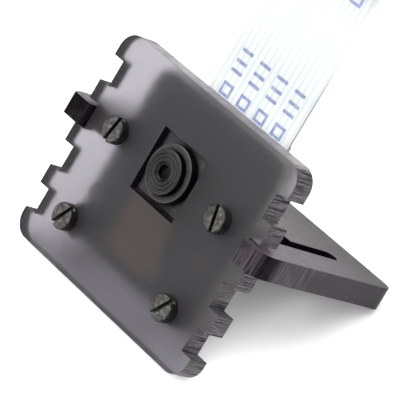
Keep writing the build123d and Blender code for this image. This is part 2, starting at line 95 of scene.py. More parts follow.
class Shader:
    """One material's node tree, with short calls for the nodes used here."""

    def __init__(self, name):
        self.material = bpy.data.materials.new(name)
        self.material.use_nodes = True
        self.tree = self.material.node_tree
        self.tree.nodes.clear()
        self.output = self.tree.nodes.new("ShaderNodeOutputMaterial")

    def set(self, socket, value):
        """Link an input to another node's socket, or store a plain value; None leaves it alone."""
        if isinstance(value, bpy.types.NodeSocket):
            self.tree.links.new(value, socket)
        elif value is not None:
            if hasattr(socket.default_value, "__len__") and len(socket.default_value) == 4:
                value = tuple(value)[:3] + (1.0,)
            socket.default_value = value

    def node(self, kind, inputs=None, **settings):
        """A new node, with its settings, and its inputs by name or number."""
        made = self.tree.nodes.new(kind)
        for key, value in settings.items():
            setattr(made, key, value)
        for key, value in (inputs or {}).items():
            self.set(made.inputs[key], value)
        return made

    def math(self, operation, a, b=None):
        """Arithmetic on values."""
        return self.node("ShaderNodeMath", {0: a, 1: b}, operation=operation).outputs[0]

    def times(self, first, *others):
        """The product of several values."""
        for other in others:
            first = self.math("MULTIPLY", first, other)
        return first

    def away(self, value, middle=0.0):
        """How far a value is from a middle one."""
        return self.math("ABSOLUTE", self.math("SUBTRACT", value, middle))

    def zigzag(self, value, half, shift=40.0):
        """A triangle wave from 0 to half and back as the value grows; shift moves it along."""
        return self.math("PINGPONG", self.math("ADD", value, shift), half)

    def vector(self, operation, a, b=None, scale=None):
        """Arithmetic on vectors."""
        inputs = {0: a, 1: b} if scale is None else {0: a, "Scale": scale}
        made = self.node("ShaderNodeVectorMath", inputs, operation=operation)
        gives_value = operation in ("DOT_PRODUCT", "LENGTH", "DISTANCE")
        return made.outputs["Value" if gives_value else "Vector"]

    def stretch(self, place, factors):
        """Coordinates scaled by a factor on each axis."""
        return self.vector("MULTIPLY", place, factors)

    def mix(self, factor, a, b):
        """Colour mix."""
        return self.node("ShaderNodeMix", {0: factor, 6: a, 7: b}, data_type="RGBA").outputs[2]

    def between(self, factor, a, b):
        """Value mix."""
        return self.node("ShaderNodeMix", {0: factor, 2: a, 3: b}, data_type="FLOAT").outputs[0]

    def turn(self, factor, a, b):
        """Vector mix, for normals."""
        return self.node("ShaderNodeMix", {0: factor, 4: a, 5: b}, data_type="VECTOR").outputs[1]

    def range(self, value, low, high, to_low=0.0, to_high=1.0):
        """A smooth step: to_low where the value is low, to_high where it is high."""
        inputs = {
            "Value": value, "From Min": low, "From Max": high, "To Min": to_low, "To Max": to_high,
        }
        made = self.node("ShaderNodeMapRange", inputs, interpolation_type="SMOOTHSTEP")
        return made.outputs["Result"]

    def place(self):
        """Coordinates in the plate's frame, in millimetres, which stay put when a body moves."""
        inputs = {
            "Vector": self.node("ShaderNodeTexCoord").outputs["Object"],
            "Location": LENS_POINT, "Rotation": (LEAN, 0, 0), "Scale": (MM, MM, MM),
        }
        return self.node("ShaderNodeMapping", inputs, vector_type="TEXTURE").outputs["Vector"]

    def split(self, vector):
        """A vector's three values."""
        return self.node("ShaderNodeSeparateXYZ", {"Vector": vector}).outputs[0:3]

    def noise(self, vector, scale, detail=3.0, roughness=0.55):
        """Cloudy noise around 0.5, with so many waves to a unit of the coordinates."""
        inputs = {"Vector": vector, "Scale": scale, "Detail": detail, "Roughness": roughness}
        return self.node("ShaderNodeTexNoise", inputs).outputs["Fac"]

    def cells(self, vector, scale):
        """Random cells, so many to a unit of the coordinates, each with its own colour."""
        return self.node("ShaderNodeTexVoronoi", {"Vector": vector, "Scale": scale})

    def normal(self):
        """The surface's direction, fixed in the piece."""
        return self.node("ShaderNodeTexCoord").outputs["Normal"]

    def facing(self, direction):
        """How squarely a face points along a direction fixed in the piece, either way: 0 to 1."""
        return self.math("ABSOLUTE", self.vector("DOT_PRODUCT", self.normal(), direction))

    def bump(self, height, distance, strength=1.0, normal=None):
        """A normal bent by a height, where a height of 1 is distance metres."""
        inputs = {"Height": height, "Distance": distance, "Strength": strength, "Normal": normal}
        return self.node("ShaderNodeBump", inputs).outputs["Normal"]

    def round_edges(self, radius):
        """A normal that looks as if edges were rounded by a radius in millimetres."""
        return self.node("ShaderNodeBevel", {"Radius": radius * MM}, samples=4).outputs["Normal"]

    def surface(self, color, roughness, normal=None, **more):
        """A principled surface; the other inputs are named with _ for each space."""
        inputs = {"Base Color": color, "Roughness": roughness, "Normal": normal}
        inputs.update({key.replace("_", " "): value for key, value in more.items()})
        return self.node("ShaderNodeBsdfPrincipled", inputs).outputs["BSDF"]

    def blend(self, factor, a, b):
        """Shader mix."""
        return self.node("ShaderNodeMixShader", {0: factor, 1: a, 2: b}).outputs[0]

    def finish(self, surface, volume=None):
        """The finished material."""
        self.set(self.output.inputs["Surface"], surface)
        if volume is not None:
            self.set(self.output.inputs["Volume"], volume)
        return self.material


def shades(color, factor):
    """A colour made lighter or darker."""
    return tuple(factor * c for c in color)


# ---------------------------------------------------------------------------
# Smoked acrylic
# ---------------------------------------------------------------------------

ACRYLIC_ABSORPTION = (0.19, 0.18, 0.25)
ACRYLIC_INDEX = 1.49
SHEET_SHADOW = (1.0, 0.992, 1.0)
# the dark of the streaks on the cut edges
STREAK_DARK = (0.002, 0.002, 0.0025)
VEIL_TONE = 0.038
CUT_EDGE_ROUND = 0.14
PLATE_SIDE = PLATE_HIGH.x
WINDOW_REACH = 6.0
# painted shade on the lens window's walls, darkest near the front face
WINDOW_WALL_SHADE = (0.10, 0.55)
LEFT_TONE = 0.18
# painted light on the plate's top edge, which faces up
TOP_EDGE_LIGHT = 2.3
# a hazier round spot on the plate's face
HAZE_SPOT = (-8.5, 0.0, -7.8)
HAZE_SPOT_RADIUS = 1.6
HAZE_SPOT_COVER = 0.25
# painted shade in a band along the bottom of the plate
BOTTOM_SHADE_COVER = 0.12

# where, going to the rear, a tone changes into the next one
HOUSING_FACE = (0.9, 1.3)
PRONG_TIP = (-0.7, -0.1)
NOTCH_FRONT = (0.2, 1.5)
NOTCH_REAR = (1.4, 3.2)
SLOT_FRONT = (3.0, 4.0)
LEG_FACE_SHADE = (8.0, 25.0)

PLATE_ACRYLIC = {
    "flatten": (1.0, 0.04, 1.0), "density": 350.0, "veil": 0.14, "cover": 0.60,
    "tone": 0.046, "tint": (1.0, 0.89, 1.02), "glint": 2.8, "tip": 1.0, "notch_shade": 1.0,
    "slot_shade": 1.0, "fade": (50.0, 60.0),
}
LEG_ACRYLIC = {
    "flatten": (1.0, 1.0, 0.04), "density": 520.0, "veil": 0.82, "cover": 0.90,
    "tone": 0.0125, "tint": (1.13, 0.86, 1.15), "glint": 5.0, "tip": 0.72, "notch_shade": 0.12,
    "slot_shade": 0.15, "fade": (5.0, 14.0),
}


def edge_shade(s, place, tip, notch_shade, slot_shade):
    """How light the cut edges are from place to place, with 1 for an open edge.

    Painted shade makes them darker round the lens window, in the notches and in the leg's
    slots; they are darker on the left, and painted light makes them lighter along the plate's
    top edge, which faces up.
    """
    x, y, z = s.split(place)
    # painted shade on the walls of the lens window
    window_wall = s.range(y, *HOUSING_FACE, *WINDOW_WALL_SHADE)
    from_lens = s.math("MAXIMUM", s.away(x), s.away(z))
    window = s.range(from_lens, WINDOW_REACH - 0.5, WINDOW_REACH + 0.5, window_wall, 1.0)
    left = s.range(x, -PLATE_SIDE + 1.0, BOARD_LOW.x, LEFT_TONE, 1.0)
    # the tip tone in front of the plate, then painted shade where the leg runs through the notches and
    # just behind them
    front = s.range(y, *PRONG_TIP, tip, notch_shade)
    behind = s.range(y, *NOTCH_REAR, notch_shade, 1.0)
    notch = s.between(s.range(y, *NOTCH_FRONT), front, behind)
    # painted light along the plate's top edge, which faces up
    top = s.range(z, PLATE_HIGH.z - 0.5, PLATE_HIGH.z - 0.2, 1.0, TOP_EDGE_LIGHT)
    # painted shade inside the leg's slots
    between_arms = s.range(s.away(x), PLATE_SIDE - 1.0, PLATE_SIDE, 1.0, 0.0)
    before_end = s.range(y, LEG_REAR - 0.6, LEG_REAR - 0.2, 1.0, 0.0)
    in_slot = s.times(s.range(y, *SLOT_FRONT), before_end, between_arms)
    slot = s.between(in_slot, 1.0, slot_shade)
    return s.times(window, left, notch, top, slot)


def face_cover(s, place, veil):
    """How much haze lies on the faces: a veil, a hazier round spot and, along the bottom,
    a band of painted shade.
    """
    x, _, z = s.split(place)
    from_spot = s.vector("DISTANCE", place, HAZE_SPOT)
    spot = s.range(from_spot, 0.5 * HAZE_SPOT_RADIUS, HAZE_SPOT_RADIUS, HAZE_SPOT_COVER, 0.0)
    # painted shade in a band along the bottom, where the floor behind lies in shadow
    middle = s.range(s.away(x), 8.0, 13.0, 1.0, 0.0)
    bottom_shade = s.times(s.range(z, -12.0, -16.0, 0.0, BOTTOM_SHADE_COVER), middle)
    return s.math("ADD", s.math("ADD", spot, veil), bottom_shade)


def smoked_acrylic(
    name, across, flatten, density, veil, cover, tone, tint, glint, tip, notch_shade, slot_shade, fade
):
    """Smoked cast acrylic: satin faces, laser-cut edges with fine streaks through the sheet.

    across is the sheet's thickness direction; flatten scales the coordinates so that the
    streaks run through the thickness; veil and cover are how much dark haze covers the faces
    and the cut edges, tone how light it is there, tint its colour and glint how much lighter
    the streaks are; tip scales the tone in front of the plate, and notch_shade and slot_shade
    scale it as painted shade inside its notches and inside the leg's slots; fade is where,
    going to the rear, the streaks weaken.
    """
    s = Shader(name)
    place = s.place()
    depth = s.split(place)[1]
    face = s.range(s.facing(across), 0.35, 0.75)

    # streaks on the cut edges, stronger in some patches than in others
    fine = s.noise(s.stretch(place, flatten), 6.0, 2.0, 0.55)
    streak = s.range(fine, 0.41, 0.57)
    patch = s.range(s.noise(place, 0.30, 1.0, 0.5), 0.38, 0.60)
    strength = s.times(s.range(depth, *fade, 1.0, 0.12), s.between(patch, 0.35, 1.0))

    # faces: slightly wavy, with a fine satin grain
    wave = s.noise(place, 0.22, 2.0, 0.5)
    grain = s.noise(place, 22.0, 2.0, 0.6)
    rounded = s.round_edges(CUT_EDGE_ROUND)
    satin = s.bump(grain, 0.000012, 0.22, s.bump(wave, 0.00035, 0.25, rounded))
    striated = s.bump(fine, 0.00022, s.times(strength, 0.8), rounded)
    normal = s.turn(face, striated, satin)
    roughness = s.between(face, 0.24, s.range(grain, 0.3, 0.7, 0.35, 0.41))
    clear = s.surface(
        (0.99, 0.98, 1.0), roughness, normal, IOR=ACRYLIC_INDEX, Transmission_Weight=1.0
    )

    # haze over both: streaked on the edges, mottled on the faces
    shade = edge_shade(s, place, tip, notch_shade, slot_shade)
    streaked = s.mix(streak, STREAK_DARK, shades(tint, glint * tone))
    edge_haze = s.vector("SCALE", s.mix(strength, shades(tint, tone), streaked), scale=shade)
    mottle = s.range(s.noise(place, 0.9, 4.0, 0.62), 0.35, 0.65, 0.65, 1.35)
    # painted shade: the leg's faces grow darker towards its rear end, where they mirror the shadowed
    # floor close by
    mottle = s.times(mottle, s.range(depth, *LEG_FACE_SHADE, 1.0, 0.45))
    face_haze = s.vector("SCALE", shades(tint, VEIL_TONE), scale=mottle)
    level = s.between(face, s.times(shade, 0.2), s.times(mottle, 0.3))
    color = s.mix(face, edge_haze, face_haze)
    haze = s.surface(color, 0.5, normal, Specular_IOR_Level=level)
    dark_streak = s.times(strength, s.math("SUBTRACT", 1.0, streak))
    edge_cover = s.range(dark_streak, 0.0, 0.6, cover, 0.98)
    edge_cover = s.math("MAXIMUM", edge_cover, s.range(shade, 0.3, 1.0, 0.95, 0.0))
    body = s.blend(s.between(face, edge_cover, face_cover(s, place, veil)), clear, haze)

    # light passes straight through to the shadow, so that the shadow stays pale
    through = s.node("ShaderNodeBsdfTransparent", {"Color": SHEET_SHADOW}).outputs[0]
    for_shadow = s.node("ShaderNodeLightPath").outputs["Is Shadow Ray"]
    smoke = {"Color": ACRYLIC_ABSORPTION, "Density": density}
    absorption = s.node("ShaderNodeVolumeAbsorption", smoke).outputs[0]
    return s.finish(s.blend(for_shadow, body, through), absorption)


# ---------------------------------------------------------------------------
# Nylon and moulded plastics
# ---------------------------------------------------------------------------

SCREW_SPREAD = (10.5, 6.25)
SCREW_MIDDLE = -6.45
CORNER_REACH = 0.7
# the next colour is painted shade, for corners, creases, grooves and side faces
SHADE_BLACK = (0.0008, 0.0008, 0.0008)
BLACK = (0.0075, 0.0075, 0.0078)
# the next colour is painted shade inside the lens barrel's dish
DISH_SHADE_BLACK = (0.0025, 0.0025, 0.0026)
CHIP_BLACK = (0.018, 0.018, 0.019)


def black_nylon(name):
    """Moulded nylon: near black, with painted light and chalky mottling on the fronts of the
    slightly domed heads, which read lit against their dark sides.
    """
    s = Shader(name)
    place = s.place()
    x, _, z = s.split(place)
    off_x = s.math("SUBTRACT", s.away(x), SCREW_SPREAD[0])
    off_z = s.math("SUBTRACT", s.away(z, SCREW_MIDDLE), SCREW_SPREAD[1])
    dome = s.times(s.math("ADD", s.times(off_x, off_x), s.times(off_z, off_z)), -1.0)
    mottle = s.noise(place, 2.9, 4.0, 0.7)
    grain = s.noise(place, 5.0, 3.0, 0.65)
    front = s.range(s.facing(BACK), 0.75, 0.98)
    # painted light: only faces turned to the front get the lighter, mottled colour
    bloom_and_light = s.times(front, s.range(mottle, 0.44, 0.62))
    color = s.mix(bloom_and_light, (0.002, 0.002, 0.002), (0.082, 0.082, 0.074))
    normal = s.bump(grain, 0.00018, 0.6, s.bump(dome, 0.00016, 1.0, s.round_edges(0.1)))
    roughness = s.range(mottle, 0.3, 0.7, 0.28, 0.50)
    level = s.between(front, 0.22, 0.38)
    return s.finish(s.surface(color, roughness, normal, Specular_IOR_Level=level))


def black_plastic(name, color=BLACK, roughness=0.38, grooves=(), dish=0.0):
    """Fine-textured moulded plastic, with painted shade in its corners and creases and on faces
    turned away from the front.

    grooves are the radii of fine grooves round the lens axis, each painted dark as shade; inside
    the radius dish it is painted darker, as shade in the recess, and shines less.
    """
    s = Shader(name)
    place = s.place()
    grain = s.noise(place, 14.0, 3.0, 0.6)
    patch = s.range(s.noise(place, 0.8, 2.0, 0.5), 0.3, 0.7)
    rounded = s.round_edges(0.06)
    normal = s.bump(grain, 0.00003, 0.35, rounded)
    # painted shade: corners and creases, found by ambient occlusion, and faces turned away from the
    # front go towards near black
    square_on = s.range(s.facing(BACK), 0.35, 0.85, 0.06, 1.0)
    corners = {"Distance": CORNER_REACH * MM, "Normal": rounded}
    opened = s.node("ShaderNodeAmbientOcclusion", corners, samples=4).outputs["AO"]
    opened = s.times(s.range(opened, 0.45, 0.95, 0.05, 1.0), square_on)
    shade = s.mix(opened, SHADE_BLACK, s.mix(patch, color, shades(color, 1.35)))
    radius = s.vector("LENGTH", s.stretch(place, (1.0, 0.0, 1.0)))
    # painted shade in each groove
    for groove in grooves:
        beside = s.range(s.away(radius, groove), 0.04, 0.12)
        shade = s.mix(beside, SHADE_BLACK, shade)
        opened = s.times(opened, s.between(beside, 0.3, 1.0))
        normal = s.bump(beside, 0.00008, 0.6, normal)
    # painted shade inside the dish
    if dish:
        outside = s.range(radius, dish - 0.1, dish + 0.05)
        opened = s.times(opened, s.between(outside, 0.25, 1.0))
        shade = s.mix(outside, DISH_SHADE_BLACK, shade)
    roughness = s.between(patch, roughness - 0.05, roughness + 0.06)
    return s.finish(s.surface(shade, roughness, normal, Specular_IOR_Level=s.times(opened, 0.36)))


def natural_plastic(name):
    """Cream connector plastic with faint flow marks."""
    s = Shader(name)
    place = s.place()
    flow = s.noise(s.stretch(place, (0.4, 1.0, 1.0)), 1.4, 4.0, 0.6)
    color = s.mix(s.range(flow, 0.3, 0.7), (0.62, 0.57, 0.45), (0.70, 0.66, 0.55))
    normal = s.bump(s.noise(place, 16.0, 2.0), 0.00003, 0.3, s.round_edges(0.06))
    return s.finish(
        s.surface(color, 0.45, normal, Subsurface_Weight=0.08, Subsurface_Scale=0.0005)
    )


def foam(name):
    """Black foam, with its bubbles."""
    s = Shader(name)
    bubbles = s.cells(s.place(), 5.0).outputs["Distance"]
    color = s.mix(s.range(bubbles, 0.1, 0.5), (0.03, 0.03, 0.03), (0.09, 0.09, 0.09))
    return s.finish(s.surface(color, 0.9, s.bump(bubbles, 0.0001, 0.7)))


# ---------------------------------------------------------------------------
# The board, its flexible circuit and its printing
# ---------------------------------------------------------------------------


def circuit_board(name):
    """Green solder mask over copper tracks, with bare fibreglass at the edges."""
    s = Shader(name)
    place = s.place()
    x, _, z = s.split(place)
    flat = s.stretch(place, (1, 0, 1))

    # blocks of parallel tracks, along x or z, and round vias
    block = s.cells(flat, 0.34).outputs["Color"]
    along_z, routed = s.split(block)[0:2]
    lane = s.between(s.math("GREATER_THAN", along_z, 0.5), x, z)
    track = s.range(s.zigzag(lane, 0.36), 0.20, 0.25)
    track = s.times(track, s.math("GREATER_THAN", routed, 0.3))
    via = s.math("LESS_THAN", s.cells(flat, 0.62).outputs["Distance"], 0.17)

    # the front, seen through the acrylic, is painted darker and greyer than the rear, as shade; the
    # rear is also duller
    rear = s.range(s.vector("DOT_PRODUCT", s.normal(), BACK), 0.2, 0.6)
    mask = s.mix(rear, (0.014, 0.026, 0.021), (0.009, 0.065, 0.026))
    lit_track = s.mix(rear, (0.020, 0.038, 0.028), (0.016, 0.110, 0.040))
    lit_via = s.mix(rear, (0.03, 0.05, 0.04), (0.03, 0.14, 0.055))
    color = s.mix(via, s.mix(track, mask, lit_track), lit_via)
    edge = s.range(s.facing(BACK), 0.4, 0.7, 1.0, 0.0)
    weave = s.noise(s.stretch(place, (1.0, 9.0, 1.0)), 1.5, 3.0)
    color = s.mix(edge, color, s.mix(weave, (0.16, 0.17, 0.06), (0.30, 0.29, 0.13)))
    height = s.math("ADD", track, s.times(via, 0.8))
    normal = s.bump(height, 0.00004, 0.5, s.round_edges(0.05))
    roughness = s.between(edge, s.between(rear, 0.27, 0.45), 0.75)
    coat = s.between(edge, s.between(rear, 0.4, 0.12), 0.0)
    return s.finish(s.surface(color, roughness, normal, Coat_Weight=coat, Coat_Roughness=0.12))


def polyimide(name):
    """Amber flexible circuit with copper runs under the film."""
    s = Shader(name)
    place = s.place()
    run = s.range(s.zigzag(s.split(place)[0], 0.22), 0.09, 0.13)
    blotch = s.range(s.noise(place, 0.5, 3.0), 0.3, 0.7)
    film = s.mix(blotch, (0.145, 0.085, 0.035), (0.19, 0.11, 0.046))
    color = s.mix(run, film, (0.25, 0.155, 0.07))
    normal = s.bump(run, 0.00003, 0.5)
    return s.finish(s.surface(color, 0.35, normal, Coat_Weight=0.3, Coat_Roughness=0.2))


def white_print(name):
    """White ink, a little worn."""
    s = Shader(name)
    fade = s.range(s.noise(s.place(), 4.0, 3.0), 0.3, 0.7)
    return s.finish(s.surface(s.mix(fade, (0.72, 0.72, 0.70), (0.85, 0.85, 0.84)), 0.6))


# ---------------------------------------------------------------------------
# The camera's glass and silicon
# ---------------------------------------------------------------------------


def dark_glass(name, tint):
    """Coated lens element with a coloured reflection, mostly covered by a near-black layer
    that paints the shade of the dark inside behind it.
    """
    s = Shader(name)
    layer = s.node("ShaderNodeLayerWeight", {"Blend": 0.35}).outputs["Facing"]
    glass = s.surface(
        (0.25, 0.28, 0.32), 0.03, IOR=1.53, Transmission_Weight=0.85, Coat_Weight=0.3,
        Coat_Roughness=0.03, Coat_Tint=s.mix(layer, tint, (0.05, 0.25, 0.18)), Coat_IOR=1.7,
    )
    # painted shade: a near-black layer over most of the glass, in a share that varies a little
    haze = s.surface((0.004, 0.004, 0.005), 0.3, Specular_IOR_Level=0.08)
    shade_share = s.range(s.noise(s.place(), 2.0, 3.0), 0.4, 0.8, 0.86, 0.94)
    return s.finish(s.blend(shade_share, glass, haze))


def silicon(name):
    """A die with a fine grid, in the colours of thin layers."""
    s = Shader(name)
    x, _, z = s.split(s.place())
    grid = s.math("MAXIMUM", s.zigzag(x, 0.1), s.zigzag(z, 0.1))
    color = s.mix(s.range(grid, 0.06, 0.1), (0.10, 0.12, 0.16), (0.2, 0.16, 0.28))
    return s.finish(s.surface(color, 0.18, Metallic=0.8))


# ---------------------------------------------------------------------------
# Metal and the small components
# ---------------------------------------------------------------------------

TERMINAL = (0.75, 0.74, 0.71)
TIN_TONE = (0.52, 0.51, 0.48)


def tinned(name):
    """Tin-plated metal with a soft, slightly dull grain."""
    s = Shader(name)
    grain = s.noise(s.stretch(s.place(), (6.0, 1.0, 0.5)), 2.0, 2.0)
    dull = s.range(grain, 0.3, 0.7)
    normal = s.bump(grain, 0.000004, 0.4, s.round_edges(0.03))
    color = s.mix(dull, TIN_TONE, shades(TIN_TONE, 0.8))
    return s.finish(s.surface(color, s.between(dull, 0.2, 0.36), normal, Metallic=1.0))


def terminal_ends(name, node, body, body_roughness, end_share):
    """A row of small chips whose two ends are wrapped in tinned terminals."""
    s = Shader(name)
    low, high = plate_box(node)
    place = s.place()
    away = s.away(s.split(place)[2], (low.z + high.z) / 2)
    limit = (high.z - low.z) / 2 * (1 - end_share)
    grain = s.noise(place, 12.0, 3.0)
    normal = s.bump(grain, 0.00004, 0.4, s.round_edges(0.05))
    shade = s.mix(s.range(grain, 0.3, 0.7), body, shades(body, 0.75))
    core = s.surface(shade, body_roughness, normal)
    metal = s.surface(TERMINAL, 0.3, normal, Metallic=1.0)
    return s.finish(s.blend(s.range(away, limit - 0.01, limit + 0.01), core, metal))


def regulator_body(name):
    """Moulded body in the middle, tinned leads outside it."""
    s = Shader(name)
    place = s.place()
    low, high = plate_box("regulators")
    lead_reach = 0.62
    away = s.away(s.split(place)[2], (low.z + high.z) / 2)
    lead = s.math("GREATER_THAN", away, (high.z - low.z) / 2 - lead_reach)
    normal = s.bump(s.noise(place, 15.0, 3.0), 0.00003, 0.4, s.round_edges(0.06))
    core = s.surface(CHIP_BLACK, 0.5, normal)
    metal = s.surface(TERMINAL, 0.28, normal, Metallic=1.0)
    return s.finish(s.blend(lead, core, metal))


def can_lid(name):
    """Metal lid with a ceramic base showing at its rim."""
    s = Shader(name)
    place = s.place()
    low, high = plate_box("oscillator")
    base_share = 0.45
    base = s.math("LESS_THAN", s.split(place)[1], low.y + (high.y - low.y) * base_share)
    brushed = s.noise(s.stretch(place, (0.5, 1.0, 8.0)), 3.0, 3.0)
    normal = s.bump(brushed, 0.00002, 0.4, s.round_edges(0.1))
    lid = s.surface((0.70, 0.69, 0.64), 0.28, normal, Metallic=1.0)
    ceramic = s.surface((0.10, 0.07, 0.05), 0.6, normal)
    return s.finish(s.blend(base, lid, ceramic))


def led_lens(name):
    """A tinted lens between two tinned ends."""
    s = Shader(name)
    low, high = plate_box("status_led")
    lens_share = 0.65
    away = s.away(s.split(s.place())[0], (low.x + high.x) / 2)
    end = s.math("GREATER_THAN", away, (high.x - low.x) / 2 * lens_share)
    core = s.surface(
        (0.75, 0.22, 0.16), 0.2, s.round_edges(0.08), Subsurface_Weight=0.3, Subsurface_Scale=0.0003
    )
    metal = s.surface(TERMINAL, 0.3, Metallic=1.0)
    return s.finish(s.blend(end, core, metal))


# ---------------------------------------------------------------------------
# The cable's films
# ---------------------------------------------------------------------------

WHITE_FILM = (0.55, 0.585, 0.595)
CONDUCTOR_FILM = (0.46, 0.515, 0.53)
CLOUD_FILM = (0.64, 0.65, 0.66)
# painted shade along the cable's right edge
RIM_SHADE = (0.22, 0.23, 0.26)
INK = (0.15, 0.18, 0.36)
# the film is painted darker towards its free end, where more light falls on it
END_DARKENING_FROM = 25.0
END_DARKENING_OVER = 9.0
END_DARKENING_TONE = 0.64
BARE_END = 5.0
MARK_COLUMN = 3.45
MARK_HALF = 1.0
MARKS_FROM = 9.6
MARK_GROUP = 18.6
BOX_MARK = (1.1, 1.7)
BAR_MARKS = ((3.6, 0.42), (4.9, 0.42), (6.4, 0.42))
MARKED_HALF = 6.9


def tick_marks(s, where, x, length):
    """Blue marks in four columns, in groups along the cable: an open box, then three bars."""
    column = s.math("ADD", x, MARK_COLUMN * 6)
    column = s.away(s.math("FLOORED_MODULO", column, MARK_COLUMN), MARK_COLUMN / 2)
    step = s.math("FLOORED_MODULO", s.math("SUBTRACT", length, MARKS_FROM), MARK_GROUP)
    marks = 0.0
    for centre, width in (BOX_MARK, *BAR_MARKS):
        bar = s.range(s.away(step, centre), width / 2 - 0.04, width / 2 + 0.06, 1.0, 0.0)
        marks = s.math("MAXIMUM", marks, bar)
    hollow_row = s.range(s.away(step, BOX_MARK[0]), 0.42, 0.54, 1.0, 0.0)
    hollow_column = s.range(column, 0.52, 0.64, 1.0, 0.0)
    outline = s.math("SUBTRACT", 1.0, s.times(hollow_row, hollow_column))
    across = s.range(column, MARK_HALF - 0.05, MARK_HALF + 0.07, 1.0, 0.0)
    inside_rim = s.range(s.away(x), MARKED_HALF, MARKED_HALF + 0.1, 1.0, 0.0)
    before_end = s.math("LESS_THAN", length, RIBBON_END - BARE_END)
    front = s.split(s.node("ShaderNodeAttribute", attribute_name="front").outputs["Vector"])[0]
    worn = s.range(s.noise(where, 1.7, 3.0), 0.25, 0.65, 0.6, 0.95)
    return s.times(marks, across, outline, inside_rim, before_end, front, worn)


def white_film(name):
    """White cable film: the flat conductors show as faint grey bands under blue tick marks."""
    s = Shader(name)
    where = s.node("ShaderNodeUVMap", uv_map="place").outputs[0]
    x, length = s.split(where)[0:2]
    band = s.range(s.zigzag(x, 0.5, 40.5), 0.10, 0.20)
    clouds = s.range(s.noise(where, 0.35, 2.0), 0.2, 0.8, 0.0, 0.25)
    film = s.mix(clouds, s.mix(band, CONDUCTOR_FILM, WHITE_FILM), CLOUD_FILM)
    # painted shade along the cable's right edge, fading out towards its free end
    rim = s.times(s.range(x, 7.7, 7.85), s.range(length, 15.0, 24.0, 0.9, 0.0))
    film = s.mix(rim, film, RIM_SHADE)
    # painted darker towards the free end, where more light falls on it, so that it shows against the
    # pale floor
    end_darkening = s.range(length, END_DARKENING_FROM, END_DARKENING_FROM + END_DARKENING_OVER, 1.0, END_DARKENING_TONE)
    film = s.vector("SCALE", film, scale=end_darkening)
    color = s.mix(tick_marks(s, where, x, length), film, INK)
    surface = s.surface(
        color, 0.34, s.bump(s.noise(where, 0.8, 2.0), 0.0001, 0.2), Coat_Weight=0.25,
        Coat_Roughness=0.2, Subsurface_Weight=0.15, Subsurface_Scale=0.0004,
    )
    return s.finish(surface)


def blue_film(name):
    """Blue stiffening film, faintly streaked along the cable."""
    s = Shader(name)
    place = s.place()
    streak = s.range(s.noise(s.stretch(place, (1.0, 1.0, 0.2)), 1.2, 3.0), 0.3, 0.7)
    color = s.mix(streak, (0.012, 0.07, 0.36), (0.02, 0.10, 0.46))
    normal = s.bump(s.noise(place, 6.0, 2.0), 0.00004, 0.3, s.round_edges(0.04))
    return s.finish(s.surface(color, 0.3, normal, Coat_Weight=0.4, Coat_Roughness=0.15))


# ---------------------------------------------------------------------------
# Finishes for the carried-over CAD nodes
# ---------------------------------------------------------------------------


def paint(material, *nodes):
    """Give CAD nodes a material."""
    for node in nodes:
        slots = NODES[node].material_slots
        if not slots:
            NODES[node].data.materials.append(material)
        for slot in slots:
            slot.material = material


CERAMIC = (0.34, 0.22, 0.12)
RESISTOR_BLACK = (0.02, 0.02, 0.022)
LATCH_BLACK = (0.02, 0.02, 0.022)
HOUSING_GREY = (0.027, 0.0265, 0.028)
BARREL_DISH = 1.25
BARREL_GROOVES = (BARREL_DISH, 1.75, 2.25)
TIN = tinned("tinned")

paint(smoked_acrylic("plate_acrylic", BACK, **PLATE_ACRYLIC), "camera_plate")
paint(smoked_acrylic("leg_acrylic", UP, **LEG_ACRYLIC), "stand_leg")
paint(black_nylon("black_nylon"), "camera_screws", "spacer_nuts", "back_nuts")
paint(circuit_board("circuit_board"), "camera_board")
paint(foam("foam"), "foam_pad")
paint(polyimide("polyimide"), "sensor_flex")
paint(silicon("silicon"), "image_sensor")
paint(dark_glass("filter_glass", (0.5, 0.1, 0.1)), "ir_filter")
paint(dark_glass("lens_glass", (0.35, 0.12, 0.45)), "front_lens", "rear_lens")
paint(black_plastic("housing_plastic", HOUSING_GREY), "lens_housing")
paint(black_plastic("barrel_plastic", grooves=BARREL_GROOVES, dish=BARREL_DISH), "lens_barrel")
paint(black_plastic("ring_plastic"), "stop_ring", "retainer_ring")
paint(black_plastic("latch_plastic", LATCH_BLACK, 0.35), "ribbon_latch")
paint(natural_plastic("connector_plastic"), "flex_socket", "flex_plug", "ribbon_socket")
paint(TIN, "socket_contacts", "root_contacts", "end_contacts")
paint(blue_film("blue_film"), "root_stiffener", "end_stiffener")
paint(regulator_body("regulator_body"), "regulators")
paint(can_lid("can_lid"), "oscillator")
paint(terminal_ends("capacitor_ceramic", "capacitors", CERAMIC, 0.55, 0.42), "capacitors")
paint(terminal_ends("resistor_body", "resistors", RESISTOR_BLACK, 0.4, 0.38), "resistors")
paint(led_lens("led_lens"), "status_led")


# ---------------------------------------------------------------------------
# Pieces built here
# ---------------------------------------------------------------------------


def piece(name, mesh_data, material, smooth=True):
    """An object from a bmesh, with its material."""
    mesh = bpy.data.meshes.new(name)
    mesh_data.to_mesh(mesh)
    mesh_data.free()
    mesh.materials.append(material)
    for polygon in mesh.polygons:
        polygon.use_smooth = smooth
    made = bpy.data.objects.new(name, mesh)
    bpy.context.scene.collection.objects.link(made)
    return made


CONDUCTORS = 15
CONDUCTOR_PITCH = 1.0
CONDUCTOR_HALF = 0.32
CONDUCTOR_SHOULDER = 0.43
CONDUCTOR_RISE = 0.03
CABLE_RIM = 0.06
RIM_INSET = 1.6 * CONDUCTOR_RISE
ROW_STEP = 0.5
CONDUCTOR_PLACES = [(i - (CONDUCTORS - 1) / 2) * CONDUCTOR_PITCH for i in range(CONDUCTORS)]


